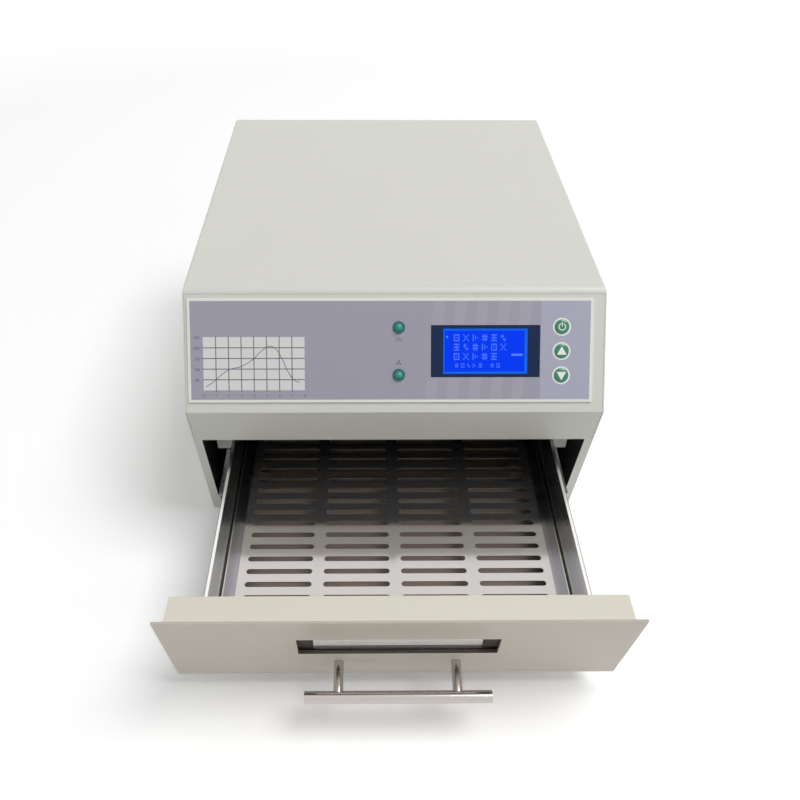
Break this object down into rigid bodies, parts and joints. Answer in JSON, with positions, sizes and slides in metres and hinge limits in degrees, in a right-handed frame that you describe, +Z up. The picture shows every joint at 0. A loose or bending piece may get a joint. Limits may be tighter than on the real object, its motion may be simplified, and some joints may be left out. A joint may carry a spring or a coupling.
{
  "type": "infrared reflow oven",
  "caption": "Benchtop infrared reflow oven with a sloping control panel, a sliding insulated drawer with a slotted tray, and a heated chamber.",
  "frame": {"origin": "on the ground, under the middle of the housing, where the feet's plane meets the housing's middle", "axes": "+X to the right of a user who faces the front, +Y to the back, +Z up; the drawer opens along -Y"},
  "size_m": [0.3732, 0.6426, 0.26],
  "materials": {
    "powder_coat": "fine textured powder coat",
    "film": "printed satin film",
    "black_plastic": "satin",
    "screen": "lit",
    "green_lens": "glossy",
    "green_key": "satin",
    "board": "solder mask",
    "brass": "turned",
    "stainless": "brushed",
    "reflector": "polished",
    "quartz": "frosted",
    "ceramic": "glazed",
    "wool": "pressed fibre",
    "rubber": "matt",
    "zinc": "zinc plated",
    "bracket_paint": "satin",
    "core_steel": "varnished",
    "handle_steel": "satin",
    "window": "clear"
  },
  "bodies": {
    "housing": {"outer_cover": "powder_coat", "base_pan": "powder_coat", "back_panel": "powder_coat", "front_fascia": "powder_coat", "control_plate": "powder_coat", "panel_film": "film", "display_frame": "black_plastic", "display_screen": "screen", "lamp_rings": "black_plastic", "lamp_lenses": "green_lens", "controller_board": "board", "board_standoffs": "brass", "chamber_hood": "stainless", "chamber_wool": "wool", "floor_wool": "wool", "floor_shield": "stainless", "reflector": "reflector", "heater_tubes": "quartz", "heater_caps": "ceramic", "thermocouples": "stainless", "exhaust_duct": "stainless", "electronics_shelf": "stainless", "power_transformer": "core_steel", "relay_module": "reflector", "terminal_block": "black_plastic", "exhaust_fan_frame": "black_plastic", "cooling_fan_frame": "black_plastic", "fan_guards": "zinc", "power_inlet": "black_plastic", "switch_body": "black_plastic", "feet": "rubber", "foot_screws": "zinc", "housing_screws": "zinc", "slide_bracket_left": "bracket_paint", "slide_bracket_right": "bracket_paint", "slide_outer_left": "zinc", "slide_outer_right": "zinc"},
    "drawer": {"slide_inner_left": "zinc", "slide_inner_right": "zinc", "drawer_plate": "powder_coat", "drawer_box": "powder_coat", "drawer_wool": "wool", "window_glass": "window", "window_gaskets": "rubber", "window_lining": "stainless", "drawer_side_left": "stainless", "drawer_side_right": "stainless", "drawer_floor": "stainless", "tray": "stainless", "tray_strips": "stainless", "handle": "handle_steel"},
    "middle_left": {"slide_middle_left": "zinc"},
    "middle_right": {"slide_middle_right": "zinc"},
    "power_key": {"key_power": "green_key"},
    "up_key": {"key_up": "green_key"},
    "down_key": {"key_down": "green_key"},
    "exhaust_rotor": {"exhaust_fan_rotor": "black_plastic"},
    "cooling_rotor": {"cooling_fan_rotor": "black_plastic"},
    "rocker": {"switch_rocker": "black_plastic"},
    "fuse": {"fuse_drawer": "black_plastic"}
  },
  "joints": [
    {"name": "drawer_slide", "type": "slide", "parent": "housing", "child": "drawer", "axis": [0, -1, 0], "range_m": [-0.189, 0.111]},
    {"name": "middle_left_slide", "type": "slide", "parent": "housing", "child": "middle_left", "axis": [0, -1, 0], "range_m": [-0.0946, 0.0556]},
    {"name": "middle_right_slide", "type": "slide", "parent": "housing", "child": "middle_right", "axis": [0, -1, 0], "range_m": [-0.0946, 0.0556]},
    {"name": "key_power_press", "type": "slide", "parent": "housing", "child": "power_key", "axis": [0, 0.7986, -0.6018], "range_m": [0, 0.0006], "stiffness_N_per_m": 800, "springref_m": -0.0004},
    {"name": "key_up_press", "type": "slide", "parent": "housing", "child": "up_key", "axis": [0, 0.7986, -0.6018], "range_m": [0, 0.0006], "stiffness_N_per_m": 800, "springref_m": -0.0004},
    {"name": "key_down_press", "type": "slide", "parent": "housing", "child": "down_key", "axis": [0, 0.7986, -0.6018], "range_m": [0, 0.0006], "stiffness_N_per_m": 800, "springref_m": -0.0004},
    {"name": "exhaust_fan_spin", "type": "hinge", "parent": "housing", "child": "exhaust_rotor", "pos_m": [0, 0.2, 0.147], "axis": [0, 1, 0], "continuous": true},
    {"name": "cooling_fan_spin", "type": "hinge", "parent": "housing", "child": "cooling_rotor", "pos_m": [-0.115, 0.205, 0.222], "axis": [0, 1, 0], "continuous": true},
    {"name": "power_switch", "type": "hinge", "parent": "housing", "child": "rocker", "pos_m": [0.088, 0.21524, 0.06], "axis": [1, 0, 0], "range_deg": [-18, 0]},
    {"name": "fuse_pull", "type": "slide", "parent": "housing", "child": "fuse", "axis": [0, 1, 0], "range_m": [0, 0.018]}
  ],
  "couplings": [
    {"joint": "middle_left_slide", "follows": "drawer_slide", "ratio": 0.5},
    {"joint": "middle_right_slide", "follows": "drawer_slide", "ratio": 0.5}
  ]
}
